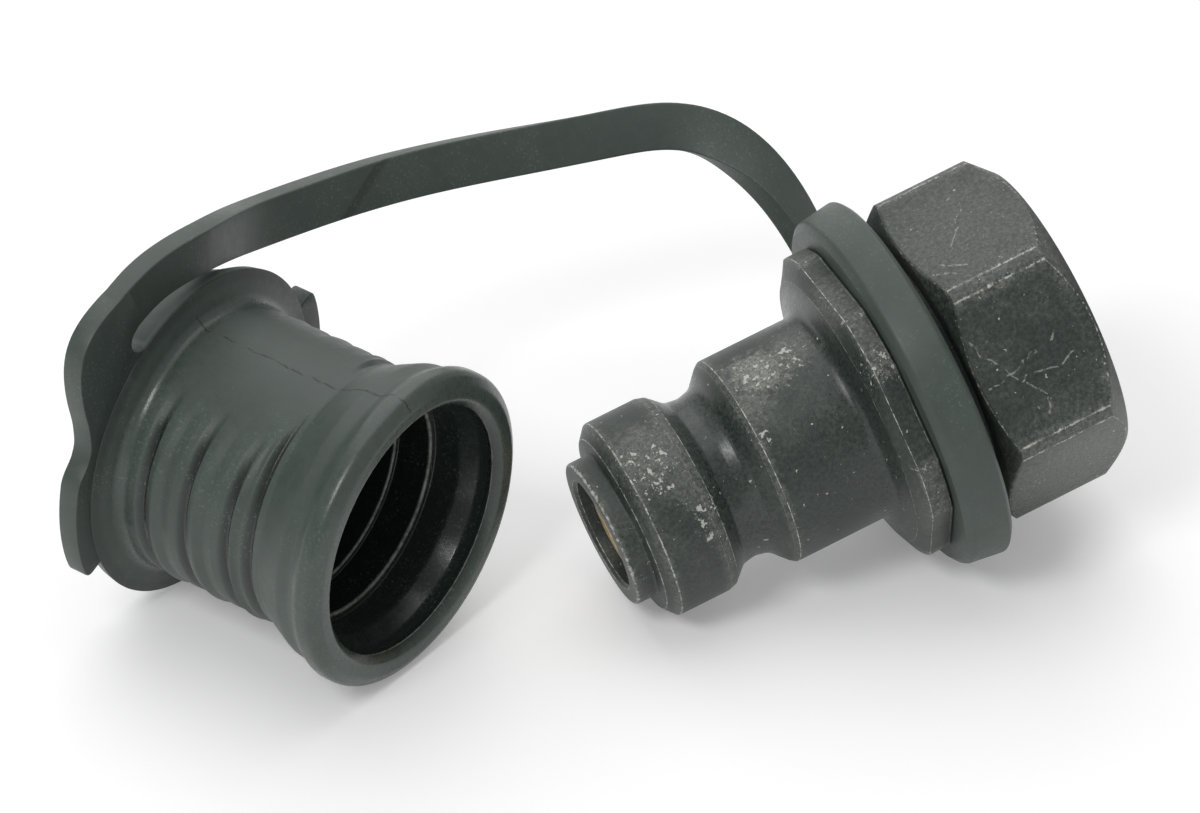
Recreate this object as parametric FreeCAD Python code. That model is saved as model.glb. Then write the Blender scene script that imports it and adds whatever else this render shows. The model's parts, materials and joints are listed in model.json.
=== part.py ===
import FreeCAD, Part

import math
import os

# Ultra high pressure coupling plug with its rubber dust cap. All lengths are millimetres.
# The plug is drawn along its own axis, x = 0 at the nose tip and x rising towards the port.
# The dust cap is drawn along its own axis, x = 0 at the front face of its base plate.

# Plug body, turned from hexagon bar
HEX_FLATS = 27.0            # across the flats of the bar
HEX_TURNED_R = 15.22        # corners of the hexagon turned down
HEX_FACE_R = 13.3           # radius where its front chamfer meets the groove
PORT_FACE_R = 13.2
PORT_CHAMFER = 1.95         # length of the chamfer round the port's face
BODY_LENGTH = 44.65
TIP_R = 6.75
TIP_LENGTH = 1.9
TIP_RIM = 0.35
COLLAR_R = 9.22
COLLAR_CHAMFER = 1.3
COLLAR_END = 8.55
NECK_R = 7.58
NECK_SLOPE = 2.4            # length of the run down into the neck, and of the run out of it
SHOULDER_START = 14.1
SHANK_R = 9.65
SHANK_EDGE = 0.45
FLANGE_ROOT = 22.7
FLANGE_FRONT = 24.3         # where its front cone leaves the rounded root
FLANGE_FRONT_R = 12.5
FLANGE_EDGE = 25.5          # where the cone meets the rim
FLANGE_R = 14.33
FLANGE_BACK = 27.1
RETAINER_CORE_R = 11.4      # floor of the groove that holds the rubber ring

# Flow bore, valve seat and port
MOUTH_R = 4.95
MOUTH_CHAMFER = 0.3
MOUTH_DEPTH = 2.2
THROAT_R = 4.2
THROAT_END = 3.2
CHAMBER_R = 5.2
GUIDE_SEAT = 24.0
GUIDE_BORE_R = 5.5
CLIP_GROOVE_START = 26.6
CLIP_GROOVE_WIDTH = 1.1
CLIP_GROOVE_R = 6.1
PORT_R = 5.72               # core of a quarter inch parallel pipe thread
PORT_DEPTH = 12.0
PORT_MOUTH_R = 6.75

# Valve
FIT = 0.08                  # radial clearance of every running fit in the valve
POPPET_FACE = 1.1           # poppet face behind the nose tip
SEAL_SECTION_R = 0.68
SEAL_SIDES = 8
SEAL_GROOVE_START = 3.35
SEAL_GROOVE_WIDTH = 1.4
HEAD_LAND_START = 5.35
HEAD_LAND_END = 7.2
HEAD_FLAT = 3.95            # three flats on the head let the oil past
BOSS_R = 2.9
BOSS_LENGTH = 1.8
STEM_R = 1.8
STEM_END = 26.9
GUIDE_THICKNESS = 2.5
GUIDE_BOSS = 1.5
GUIDE_HOLE_R = 1.1
GUIDE_HOLE_CIRCLE = 3.8
GUIDE_HOLES = 4
WIRE_R = 0.4
WIRE_SIDES = 4
SPRING_TURNS = 5
SPRING_R = BOSS_R + WIRE_R + 0.25
CLIP_RADIAL = 1.0
CLIP_GAP = 50.0             # degrees between the two ends of the retaining ring

# Ring of the dust cap, in the groove between flange and hexagon
RING_R = 16.95              # at its back edge
RING_CONE = 0.45            # its front edge is this much lower
RING_WIDTH = 4.2
RING_CLEARANCE = 0.06       # radial, round the groove floor
RING_SIDE_GAP = 0.12        # to the flange
RING_SLACK = 1.38           # to the hexagon
RING_EDGE = 0.6             # rounding of its front edge
RING_BACK_EDGE = 0.7        # rounding of its back edge
RING_START = FLANGE_BACK + RING_SIDE_GAP
RING_END = RING_START + RING_WIDTH
HEX_START = RING_END + RING_SLACK

# Dust cap
PLATE_THICKNESS = 2.0
DISC_R = 15.0
DISC_EASE = 0.9             # rounding of the plate's back edge where it is a plain disc
BODY_R = 12.2
FLARE_END = 2.7
GROOVES = (4.1, 7.9, 12.0, 14.7)     # round the cap, between its ribs
GROOVE_DEPTH = 0.42
GROOVE_HALF_WIDTH = 1.1
SWELL_START = 16.1
LIP_X = 22.0
LIP_R = 12.95
LIP_SECTION_R = 1.52
LIP_LEAD = 1.3              # rounding of the lip into the mouth
PAD_CENTRE = 168.0          # degrees round the cap from straight down
PAD_HALF_ANGLE = 26.0
MOUTH_LIP_R = 11.5
LIP_GROOVE_R = 11.95
BORE_R = 11.1
STEP_A_X = 17.0
STEP_A_R = 10.35
STEP_B_X = 13.6
STEP_B_R = 9.8
CAP_FLOOR = 0.8
LOBE_R = 16.9               # lobes at both sides of the base plate
LOBE_ROUNDING = 0.9
LOBES = ((65.5, 109.0), (248.3, 293.0))
SLOT_END_ANGLE = 150.6
SLOT_END_R = 1.35

# Strap, its section and the path that its middle line takes in the air
STRAP_WIDTH = 4.2
STRAP_THICKNESS = 2.0
STRAP_STEPS = 36            # sections that carry its surface
ROOT_OUTLINE = ((107.0, 16.1), (110.5, 16.1), (113.0, 16.15), (116.0, 16.6), (120.0, 17.5),
                (124.0, 18.9), (128.0, 20.4), (132.0, 21.8), (136.0, 22.8), (140.0, 23.2),
                (145.0, 23.05), (150.0, 22.6))
STRAP_ROOT = ((150.0, 20.15, 4.9), (158.0, 19.85, 4.5), (168.0, 19.2, 4.3), (181.0, 18.4, 4.2))
STRAP_PATH = ((-22.1, 25.8, 29.7, -81.0), (-13.8, 29.2, 28.3, -75.5),
              (-5.3, 31.4, 27.3, -67.9), (4.1, 32.2, 26.6, -62.0), (13.6, 31.5, 26.7, -55.1),
              (21.2, 29.2, 26.9, -54.9), (26.2, 24.2, 23.6, -4.0), (28.9, 18.0, 17.1, 35.8))
RING_ANGLE = 141.6          # degrees from sideways to the strap's joint, round the plug axis
RING_COVER = 0.3            # depth of the strap's end inside the ring

# Where the cap lies on the floor beside the plug
CAP_X = -29.8
CAP_Y = 18.2
CAP_HEADING = -59.6         # degrees from the plug's heading to the cap's

X_AXIS = FreeCAD.Vector(1, 0, 0)
Y_AXIS = FreeCAD.Vector(0, 1, 0)
Z_AXIS = FreeCAD.Vector(0, 0, 1)
ORIGIN = FreeCAD.Vector(0, 0, 0)


def vec(x, y, z):
    return FreeCAD.Vector(x, y, z)


def polar(x, radius, degrees):
    """Point of the dust cap, its angle counted from straight down."""
    a = math.radians(degrees)
    return vec(x, -radius * math.sin(a), -radius * math.cos(a))


def turned(points):
    """Solid of revolution about x from (x, radius) points, closed along the axis if need be."""
    outline = Part.makePolygon([vec(x, 0, r) for x, r in points] + [vec(points[0][0], 0, points[0][1])])
    return Part.Face(outline).revolve(ORIGIN, X_AXIS, 360)


def rod(start, end, radius):
    return Part.makeCylinder(radius, end - start, vec(start, 0, 0), X_AXIS)


def hexagon_bar(start, end):
    """Hexagonal bar along x with a corner to each side."""
    corner_r = HEX_FLATS / 2.0 / math.cos(math.radians(30.0))
    corners = []
    for i in range(7):
        a = math.radians(60.0 * i)
        corners.append(vec(start, corner_r * math.cos(a), corner_r * math.sin(a)))
    return Part.Face(Part.makePolygon(corners)).extrude(vec(end - start, 0, 0))


def plug_body():
    nose = turned([
        (0, 0),
        (0, TIP_R - TIP_RIM),
        (TIP_RIM, TIP_R),
        (TIP_LENGTH, TIP_R),
        (TIP_LENGTH, COLLAR_R - COLLAR_CHAMFER),
        (TIP_LENGTH + COLLAR_CHAMFER * 0.35, COLLAR_R - COLLAR_CHAMFER * 0.35),
        (TIP_LENGTH + COLLAR_CHAMFER, COLLAR_R),
        (COLLAR_END, COLLAR_R),
        (COLLAR_END + 0.35, COLLAR_R - 0.3),
        (COLLAR_END + NECK_SLOPE * 0.65, NECK_R + (COLLAR_R - NECK_R) * 0.25),
        (COLLAR_END + NECK_SLOPE, NECK_R),
        (SHOULDER_START - NECK_SLOPE, NECK_R),
        (SHOULDER_START - NECK_SLOPE * 0.5, NECK_R + (SHANK_R - NECK_R) * 0.3),
        (SHOULDER_START, SHANK_R - SHANK_EDGE),
        (SHOULDER_START + SHANK_EDGE, SHANK_R),
        (FLANGE_ROOT, SHANK_R),
        (FLANGE_ROOT + 0.75, SHANK_R + 0.4),
        (FLANGE_ROOT + 1.15, SHANK_R + 1.2),
        (FLANGE_FRONT, FLANGE_FRONT_R),
        (FLANGE_EDGE, FLANGE_R),
        (FLANGE_BACK - 0.5, FLANGE_R),
        (FLANGE_BACK, FLANGE_R - 0.5),
        (FLANGE_BACK, RETAINER_CORE_R),
        (HEX_START, RETAINER_CORE_R),
        (HEX_START, 0),
    ])
    chamfer = (HEX_TURNED_R - HEX_FACE_R) * math.tan(math.radians(30.0))
    head = turned([
        (HEX_START, 0),
        (HEX_START, HEX_FACE_R),
        (HEX_START + chamfer, HEX_TURNED_R),
        (BODY_LENGTH - PORT_CHAMFER, HEX_TURNED_R),
        (BODY_LENGTH, PORT_FACE_R),
        (BODY_LENGTH, 0),
    ])
    bar = hexagon_bar(-1.0, BODY_LENGTH + 1.0)
    body = nose.fuse(head).common(bar)
    return body.cut(flow_bore()).removeSplitter()


def flow_bore():
    """Everything that is drilled and bored out of the plug, as one tool."""
    clip_end = CLIP_GROOVE_START + CLIP_GROOVE_WIDTH
    port_start = BODY_LENGTH - PORT_DEPTH
    lead = PORT_MOUTH_R - PORT_R
    return turned([
        (-1.0, 0),
        (-1.0, MOUTH_R + MOUTH_CHAMFER + 1.0),
        (MOUTH_CHAMFER, MOUTH_R),
        (MOUTH_DEPTH, MOUTH_R),
        (MOUTH_DEPTH, THROAT_R),
        (THROAT_END, THROAT_R),
        (THROAT_END + CHAMBER_R - THROAT_R, CHAMBER_R),
        (GUIDE_SEAT, CHAMBER_R),
        (GUIDE_SEAT, GUIDE_BORE_R),
        (CLIP_GROOVE_START, GUIDE_BORE_R),
        (CLIP_GROOVE_START, CLIP_GROOVE_R),
        (clip_end, CLIP_GROOVE_R),
        (clip_end, GUIDE_BORE_R),
        (port_start, GUIDE_BORE_R),
        (port_start + 0.1, PORT_R),
        (BODY_LENGTH - lead, PORT_R),
        (BODY_LENGTH + 1.0, PORT_MOUTH_R + 1.0),
        (BODY_LENGTH + 1.0, 0),
    ])


def valve_poppet():
    """Valve with its sealing groove, three flow flats and a guided stem."""
    nose_r = THROAT_R - 0.1
    land_r = CHAMBER_R - FIT
    groove_r = seal_centre_r() - SEAL_SECTION_R - 0.02
    groove_end = SEAL_GROOVE_START + SEAL_GROOVE_WIDTH
    boss_end = HEAD_LAND_END + BOSS_LENGTH
    shape = turned([
        (POPPET_FACE, 0),
        (POPPET_FACE, nose_r - 0.3),
        (POPPET_FACE + 0.3, nose_r),
        (SEAL_GROOVE_START, nose_r),
        (SEAL_GROOVE_START, groove_r),
        (groove_end, groove_r),
        (groove_end, land_r - (HEAD_LAND_START - groove_end)),
        (HEAD_LAND_START, land_r),
        (HEAD_LAND_END, land_r),
        (HEAD_LAND_END, BOSS_R),
        (boss_end, BOSS_R),
        (boss_end, STEM_R),
        (STEM_END - 0.4, STEM_R),
        (STEM_END, STEM_R - 0.4),
        (STEM_END, 0),
    ])
    for angle in (90, 210, 330):
        length = HEAD_LAND_END - groove_end + 0.1
        flat = Part.makeBox(length, 2 * CHAMBER_R, CHAMBER_R, vec(groove_end, -CHAMBER_R, HEAD_FLAT))
        flat.rotate(ORIGIN, X_AXIS, angle)
        shape = shape.cut(flat)
    return shape


def seal_centre_r():
    return THROAT_R - 0.2


def poppet_seal():
    """O-ring in the groove behind the poppet's nose."""
    middle = SEAL_GROOVE_START + SEAL_GROOVE_WIDTH / 2.0
    outline = []
    for i in range(SEAL_SIDES + 1):
        a = 2.0 * math.pi * (i + 0.5) / SEAL_SIDES
        across = SEAL_SECTION_R * math.cos(a)
        outline.append(vec(middle + across, 0, seal_centre_r() + SEAL_SECTION_R * math.sin(a)))
    return Part.Face(Part.makePolygon(outline)).revolve(ORIGIN, X_AXIS, 360)


def valve_guide():
    """Drilled disc that carries the stem and the fixed end of the spring."""
    start = GUIDE_SEAT + 0.02
    end = start + GUIDE_THICKNESS
    disc = rod(start, end, GUIDE_BORE_R - 0.03)
    disc = disc.fuse(rod(start - GUIDE_BOSS, start, BOSS_R))
    disc = disc.cut(rod(start - GUIDE_BOSS - 1, end + 1, STEM_R + FIT))
    for i in range(GUIDE_HOLES):
        a = math.radians(360.0 * i / GUIDE_HOLES)
        centre = vec(start - GUIDE_BOSS, GUIDE_HOLE_CIRCLE * math.cos(a), GUIDE_HOLE_CIRCLE * math.sin(a))
        disc = disc.cut(Part.makeCylinder(GUIDE_HOLE_R, GUIDE_THICKNESS + 2 * GUIDE_BOSS, centre, X_AXIS))
    return disc.removeSplitter()


def valve_spring():
    """Helical wire between the poppet's head and the guide."""
    start = HEAD_LAND_END + WIRE_R + 0.05
    end = GUIDE_SEAT - WIRE_R - 0.05
    pitch = (end - start) / SPRING_TURNS
    helix = Part.makeHelix(pitch, end - start, SPRING_R)
    corners = []
    for i in range(WIRE_SIDES + 1):
        a = 2.0 * math.pi * i / WIRE_SIDES
        corners.append(vec(SPRING_R + WIRE_R * math.cos(a), 0, WIRE_R * math.sin(a)))
    coil = Part.Wire(helix).makePipeShell([Part.makePolygon(corners)], True, True)
    coil.rotate(ORIGIN, Y_AXIS, 90)
    coil.translate(vec(start, 0, 0))
    return coil


def retaining_ring():
    """Open spring ring with two drilled ears, in its groove behind the guide."""
    outer = CLIP_GROOVE_R - 0.05
    start = CLIP_GROOVE_START + 0.05
    thick = CLIP_GROOVE_WIDTH - 0.1
    ring = rod(start, start + thick, outer).cut(rod(start - 1, start + thick + 1, outer - CLIP_RADIAL))
    half = math.radians(CLIP_GAP / 2.0)
    far = outer + 3.0
    gap = Part.Face(Part.makePolygon([
        vec(start - 1, 0, 0),
        vec(start - 1, far * math.sin(half), -far * math.cos(half)),
        vec(start - 1, -far * math.sin(half), -far * math.cos(half)),
        vec(start - 1, 0, 0),
    ])).extrude(vec(thick + 2, 0, 0))
    ring = ring.cut(gap)
    ear_r = outer - CLIP_RADIAL - 0.15
    for side in (-1, 1):
        a = half + math.radians(7.0)
        centre = vec(start, side * ear_r * math.sin(a), -ear_r * math.cos(a))
        ear = Part.makeCylinder(0.85, thick, centre, X_AXIS)
        hole = Part.makeCylinder(0.4, thick + 2, centre - vec(1, 0, 0), X_AXIS)
        ring = ring.fuse(ear).cut(hole)
    return ring.removeSplitter()


def cap_shell(groove_depth):
    """Outer form of the cap above its plate, with or without the grooves between its ribs."""
    points = [
        (-PLATE_THICKNESS, 0),
        (-PLATE_THICKNESS, DISC_R - DISC_EASE),
        (-PLATE_THICKNESS + DISC_EASE, DISC_R - DISC_EASE * 0.25),
        (0, DISC_R),
        (FLARE_END * 0.12, BODY_R + (DISC_R - BODY_R) * 0.5),
        (FLARE_END * 0.45, BODY_R + (DISC_R - BODY_R) * 0.15),
        (FLARE_END, BODY_R),
    ]
    for x in GROOVES:
        points.append((x - GROOVE_HALF_WIDTH, BODY_R))
        points.append((x, BODY_R - groove_depth))
        points.append((x + GROOVE_HALF_WIDTH, BODY_R))
    lip_out = LIP_R + LIP_SECTION_R
    lip_front = LIP_X + LIP_SECTION_R
    points += [
        (SWELL_START, BODY_R),
        (SWELL_START + 0.9, BODY_R + 0.45),
        (LIP_X - 3.3, LIP_R + 0.55),
        (LIP_X - 1.9, lip_out - 0.3),
        (LIP_X, lip_out),
        (LIP_X + LIP_SECTION_R * 0.7071, LIP_R + LIP_SECTION_R * 0.7071),
        (lip_front, LIP_R),
        (lip_front - 0.35, MOUTH_LIP_R + 0.45),
        (lip_front - LIP_LEAD, MOUTH_LIP_R),
        (lip_front - LIP_LEAD, 0),
    ]
    return turned(points)


def cap_bore():
    """Inside of the cap: lip groove, two steps and a floor."""
    lip = LIP_X + LIP_SECTION_R - LIP_LEAD
    return turned([
        (CAP_FLOOR, 0),
        (CAP_FLOOR, STEP_B_R),
        (STEP_B_X, STEP_B_R),
        (STEP_B_X, STEP_A_R),
        (STEP_A_X, STEP_A_R),
        (STEP_A_X, BORE_R),
        (lip - 2.4, BORE_R),
        (lip - 1.7, LIP_GROOVE_R),
        (lip - 0.7, LIP_GROOVE_R),
        (lip, MOUTH_LIP_R),
        (LIP_X + LIP_SECTION_R + 1.0, MOUTH_LIP_R),
        (LIP_X + LIP_SECTION_R + 1.0, 0),
    ])


def sector(radius, start, end, inner):
    """Flat piece of the base plate between two angles and two radii."""
    x = -PLATE_THICKNESS
    middle = (start + end) / 2.0
    face = Part.Face(Part.Wire([
        Part.makeLine(polar(x, inner, start), polar(x, radius, start)),
        Part.Arc(polar(x, radius, start), polar(x, radius, middle), polar(x, radius, end)).toShape(),
        Part.makeLine(polar(x, radius, end), polar(x, inner, end)),
        Part.makeLine(polar(x, inner, end), polar(x, inner, start)),
    ]))
    return face.extrude(vec(PLATE_THICKNESS, 0, 0))


def rounded(piece, radius):
    """The same flat piece with its upright outer corners rounded."""
    corners = []
    for edge in piece.Edges:
        ends = [v.Point for v in edge.Vertexes]
        upright = len(ends) == 2 and abs(abs(ends[0].x - ends[1].x) - PLATE_THICKNESS) < 0.01
        if upright and math.hypot(ends[0].y, ends[0].z) > DISC_R:
            corners.append(edge)
    return piece.makeFillet(radius, corners)


def strap_root():
    """Part of the base plate that grows out into the strap."""
    x = -PLATE_THICKNESS
    outline = Part.BSplineCurve()
    outline.interpolate([polar(x, r, a) for a, r in ROOT_OUTLINE])
    first, last = ROOT_OUTLINE[0], ROOT_OUTLINE[-1]
    inner = DISC_R - 2.0
    face = Part.Face(Part.Wire([
        Part.makeLine(polar(x, inner, first[0]), polar(x, first[1], first[0])),
        outline.toShape(),
        Part.makeLine(polar(x, last[1], last[0]), polar(x, inner, last[0])),
        Part.makeLine(polar(x, inner, last[0]), polar(x, inner, first[0])),
    ]))
    root = face.extrude(vec(PLATE_THICKNESS, 0, 0))
    slot_r = STRAP_ROOT[0][1] - STRAP_ROOT[0][2] / 2.0 - SLOT_END_R
    slot_end = Part.makeCylinder(SLOT_END_R, PLATE_THICKNESS + 2, polar(x - 1, slot_r, SLOT_END_ANGLE), X_AXIS)
    return root.cut(slot_end)


def section(point, along, inward, width):
    """Rectangle of the strap, square to its run."""
    across = (inward - along * inward.dot(along)).normalize() * (width / 2.0)
    through = along.cross(across).normalize() * (STRAP_THICKNESS / 2.0)
    corners = [
        point + across + through,
        point + across - through,
        point - across - through,
        point - across + through,
    ]
    return Part.makePolygon(corners + [corners[0]])


def strap(cap_place, plug_place):
    """Twisting strap from the base plate, through the air, to the far side of the ring."""
    middle = -PLATE_THICKNESS / 2.0
    points = []
    inward = []
    widths = []
    for angle, radius, width in STRAP_ROOT:
        points.append(cap_place.multVec(polar(middle, radius, angle)))
        inward.append(cap_place.Rotation.multVec(polar(0, -1.0, angle)))
        widths.append(width)
    start_run = cap_place.Rotation.multVec(polar(0, 1.0, STRAP_ROOT[0][0] + 90.0))
    for x, y, z, roll in STRAP_PATH:
        points.append(vec(x, y, z))
    a = math.radians(RING_ANGLE)
    near_side = vec(0, math.cos(a), math.sin(a))
    reach = RING_R - RING_CONE - STRAP_WIDTH / 2.0 - RING_COVER
    ring_x = (RING_START + RING_END) / 2.0
    points.append(plug_place.multVec(vec(ring_x, 0, 0) - near_side * reach))
    end_run = plug_place.Rotation.multVec(vec(0, -math.sin(a), math.cos(a)))
    places = [0.0]
    for i in range(1, len(points)):
        places.append(places[-1] + (points[i] - points[i - 1]).Length)
    widths += [STRAP_WIDTH] * (len(points) - len(widths))
    path = Part.BSplineCurve()
    path.interpolate(points, Parameters=places, InitialTangent=start_run, FinalTangent=end_run, Scale=False)
    for i, (x, y, z, roll) in enumerate(STRAP_PATH):
        along = vec(*path.tangent(places[len(STRAP_ROOT) + i])[0])
        level = along.cross(Z_AXIS).normalize()
        upright = level.cross(along)
        inward.append(level * math.cos(math.radians(roll)) + upright * math.sin(math.radians(roll)))
    inward.append(plug_place.Rotation.multVec(near_side))
    turning = Part.BSplineCurve()
    turning.interpolate(inward, Parameters=places)
    sections = []
    for i in range(STRAP_STEPS + 1):
        at = places[-1] * i / STRAP_STEPS
        span = max(j for j in range(len(places) - 1) if places[j] <= at)
        share = (at - places[span]) / (places[span + 1] - places[span])
        width = widths[span] * (1.0 - share) + widths[span + 1] * share
        sections.append(section(path.value(at), vec(*path.tangent(at)[0]), turning.value(at), width))
    return Part.makeLoft(sections, True, False)


def cap_ring():
    """Rubber ring that snaps into the groove between flange and hexagon."""
    low = RETAINER_CORE_R + RING_CLEARANCE
    inner = 0.3
    front_r = RING_R - RING_CONE
    outline = [
        (RING_START, low + inner),
        (RING_START, front_r - RING_EDGE),
        (RING_START + RING_EDGE * 0.3, front_r - RING_EDGE * 0.3),
        (RING_START + RING_EDGE, front_r),
        (RING_END - RING_BACK_EDGE, RING_R),
        (RING_END - RING_BACK_EDGE * 0.3, RING_R - RING_BACK_EDGE * 0.3),
        (RING_END, RING_R - RING_BACK_EDGE),
        (RING_END, low + inner),
        (RING_END - inner, low),
        (RING_START + inner, low),
        (RING_START, low + inner),
    ]
    return Part.Face(Part.makePolygon([vec(x, 0, r) for x, r in outline])).revolve(ORIGIN, X_AXIS, 360)


def dust_cap(cap_place, plug_place):
    """One rubber moulding: cap, base plate, strap and ring."""
    shell = cap_shell(GROOVE_DEPTH)
    pad = cap_shell(0.0)
    reach = 3.0 * BODY_R
    wedge = Part.Face(Part.makePolygon([
        vec(FLARE_END, 0, 0),
        polar(FLARE_END, reach, PAD_CENTRE - PAD_HALF_ANGLE),
        polar(FLARE_END, reach, PAD_CENTRE + PAD_HALF_ANGLE),
        vec(FLARE_END, 0, 0),
    ])).extrude(vec(SWELL_START - FLARE_END, 0, 0))
    shell = shell.fuse(pad.common(wedge))
    plate = [strap_root()]
    for start, end in LOBES:
        plate.append(rounded(sector(LOBE_R, start, end, DISC_R - 2.0), LOBE_ROUNDING))
    cap = shell.fuse(plate).cut(cap_bore())
    cap.Placement = cap_place
    ring = cap_ring()
    ring.Placement = plug_place
    return cap.fuse([strap(cap_place, plug_place), ring]).removeSplitter()


def placements():
    """Plug nose-down on its collar and the ring, cap on its lip and disc, floor at z = 0."""
    front_x = TIP_LENGTH + COLLAR_CHAMFER
    ring_x = RING_START + RING_EDGE
    tilt = math.atan2(RING_R - RING_CONE - COLLAR_R, ring_x - front_x)
    height = COLLAR_R * math.cos(tilt) - front_x * math.sin(tilt)
    plug_turn = FreeCAD.Rotation(Y_AXIS, -math.degrees(tilt))
    plug_place = FreeCAD.Placement(vec(0, 0, height), plug_turn)
    lip_r = LIP_R + LIP_SECTION_R
    pitch = math.atan2(DISC_R - lip_r, LIP_X)
    cap_turn = FreeCAD.Rotation(Z_AXIS, CAP_HEADING).multiply(FreeCAD.Rotation(Y_AXIS, math.degrees(pitch)))
    cap_place = FreeCAD.Placement(vec(CAP_X, CAP_Y, DISC_R * math.cos(pitch)), cap_turn)
    return plug_place, cap_place


def main():
    plug_place, cap_place = placements()
    pieces = {
        "plug_body": plug_body(),
        "valve_poppet": valve_poppet(),
        "poppet_seal": poppet_seal(),
        "valve_spring": valve_spring(),
        "valve_guide": valve_guide(),
        "retaining_ring": retaining_ring(),
    }
    for shape in pieces.values():
        shape.Placement = plug_place.multiply(shape.Placement)
    pieces["dust_cap"] = dust_cap(cap_place, plug_place)
    box = FreeCAD.BoundBox()
    for shape in pieces.values():
        box.add(shape.optimalBoundingBox(False))
    offset = vec(-(box.XMin + box.XMax) / 2.0, -(box.YMin + box.YMax) / 2.0, -box.ZMin)
    os.makedirs("parts", exist_ok=True)
    for name, shape in pieces.items():
        shape.translate(offset)
        solids = shape.Solids
        print(name, "solids", len(solids), "volume", round(shape.Volume, 1), "valid", shape.isValid())
        result = solids[0] if len(solids) == 1 else shape
        result.exportStep("parts/" + name + ".step")
    print("offset", offset, "tilt", plug_place.Rotation.toEuler())
    print("size", box.XLength, box.YLength, box.ZLength)


main()
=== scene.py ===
import json
import math

import bmesh
import bpy
import numpy as np
from bpy.props import FloatProperty, FloatVectorProperty, IntProperty, PointerProperty
from mathutils import Euler, Matrix, Vector


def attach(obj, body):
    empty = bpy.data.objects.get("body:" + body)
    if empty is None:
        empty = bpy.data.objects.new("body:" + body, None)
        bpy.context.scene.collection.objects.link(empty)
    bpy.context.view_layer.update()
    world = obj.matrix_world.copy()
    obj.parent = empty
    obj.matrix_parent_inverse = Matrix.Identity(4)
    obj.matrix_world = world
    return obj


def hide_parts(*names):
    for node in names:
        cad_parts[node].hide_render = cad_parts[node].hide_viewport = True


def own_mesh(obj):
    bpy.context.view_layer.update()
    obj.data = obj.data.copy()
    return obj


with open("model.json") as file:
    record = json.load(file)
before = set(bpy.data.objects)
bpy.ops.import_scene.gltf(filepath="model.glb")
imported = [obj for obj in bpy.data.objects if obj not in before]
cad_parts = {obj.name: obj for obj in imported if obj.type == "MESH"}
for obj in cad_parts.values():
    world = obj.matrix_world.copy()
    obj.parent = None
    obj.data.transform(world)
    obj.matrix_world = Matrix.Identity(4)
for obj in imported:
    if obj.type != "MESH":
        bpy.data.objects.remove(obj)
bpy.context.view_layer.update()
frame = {"nodes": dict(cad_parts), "record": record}

bl_info = {
    "name": "High pressure coupling plug",
    "version": (1, 0, 0),
    "blender": (4, 5, 0),
    "location": "3D view > Sidebar > Coupling",
    "description": "Builds a blackened steel coupling plug with its rubber dust cap",
    "category": "Object",
}

MM = 0.001

# Places on the plug, in mm from its nose tip along its axis, and radii
PORT_MIDDLE = 38.35
THREAD_START, THREAD_END, THREAD_RUN_IN = 33.55, 43.75, 0.8
PORT_R = 5.85
UNCUT_R = 7.2
FLANGE_END = 28.0
# Share of the hexagon's edge rounding that the flange's edges get
FLANGE_SOFTNESS = 0.25
# How closely the columns are drawn together at the hexagon's corners
CROWDING = 0.75

# Outline of the plug in mm: place along the axis, radius, rounding and step of the run that
# follows, the last two left out where they are zero. It runs from the nose to the port and back.
PLUG_OUTSIDE = (
    (0.0, 6.75, 0.4), (1.92, 6.75, 0.3), (2.12, 8.15, 0.45), (3.05, 9.22, 0.35),
    (7.85, 9.22, 0.12), (8.6, 9.0, 0.3), (9.95, 7.75, 0.9), (11.3, 7.55, 1.5),
    (12.6, 7.85, 1.5), (14.0, 9.35, 0.15), (14.4, 9.65, 0.25), (23.52, 9.65, 1.1),
    (24.25, 12.5, 0.3), (25.12, 14.33, 0.16, 0.25), (26.95, 14.33, 0.1), (27.1, 14.2),
    (27.1, 11.4), (32.8, 11.4), (32.8, 13.3, 0, 0.13), (33.91, 15.22, 0, 1.2),
    (42.7, 15.22, 0, 0.13), (44.65, 13.2, 0.15),
)
PLUG_BORE = (
    (44.65, 6.9, 0.12), (43.7, 5.8, 0, 0.167), (32.95, 5.72), (32.75, 5.5),
    (27.7, 5.5), (27.7, 6.1), (26.6, 6.1), (26.6, 5.5),
    (24.0, 5.5), (24.0, 5.2), (4.2, 5.2), (3.2, 4.2),
    (2.2, 4.2), (2.2, 4.95), (0.3, 4.95, 0.15), (0.0, 5.25, 0.15),
)

# Coil of the valve spring: wire radius, coil radius, ends of the wire and turns, in mm
SPRING_WIRE = 0.4
SPRING_COIL = 3.55
SPRING_ENDS = (7.25, 23.95)
SPRING_TURNS = 5

# Outline of the cap in mm, from inside its plate over the ribs to the lip and into the cavity
CAP_START = (
    (-2.0, 0.0), (-2.0, 14.1, 0.4), (-1.1, 14.78, 0.4), (0.0, 15.0, 0.12),
    (0.75, 12.2, 1.5),
)
CAP_LIP = (
    (15.9, 12.3, 0.8), (17.2, 12.95, 1.5), (18.9, 13.72, 1.6), (20.3, 13.78, 1.4),
    (21.45, 14.5, 1.0), (22.8, 14.48, 0.9), (23.52, 13.4, 0.8), (23.5, 12.2, 0.7),
    (22.75, 11.45, 0.12), (22.1, 11.8, 0.4), (21.3, 11.8, 1.2), (19.5, 11.1, 1.5),
    (17.0, 11.1, 0.12), (17.0, 10.35, 0.3), (13.6, 10.35, 0.12), (13.6, 9.8, 0.25),
    (0.8, 9.8, 0.6), (0.8, 0.0),
)
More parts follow.
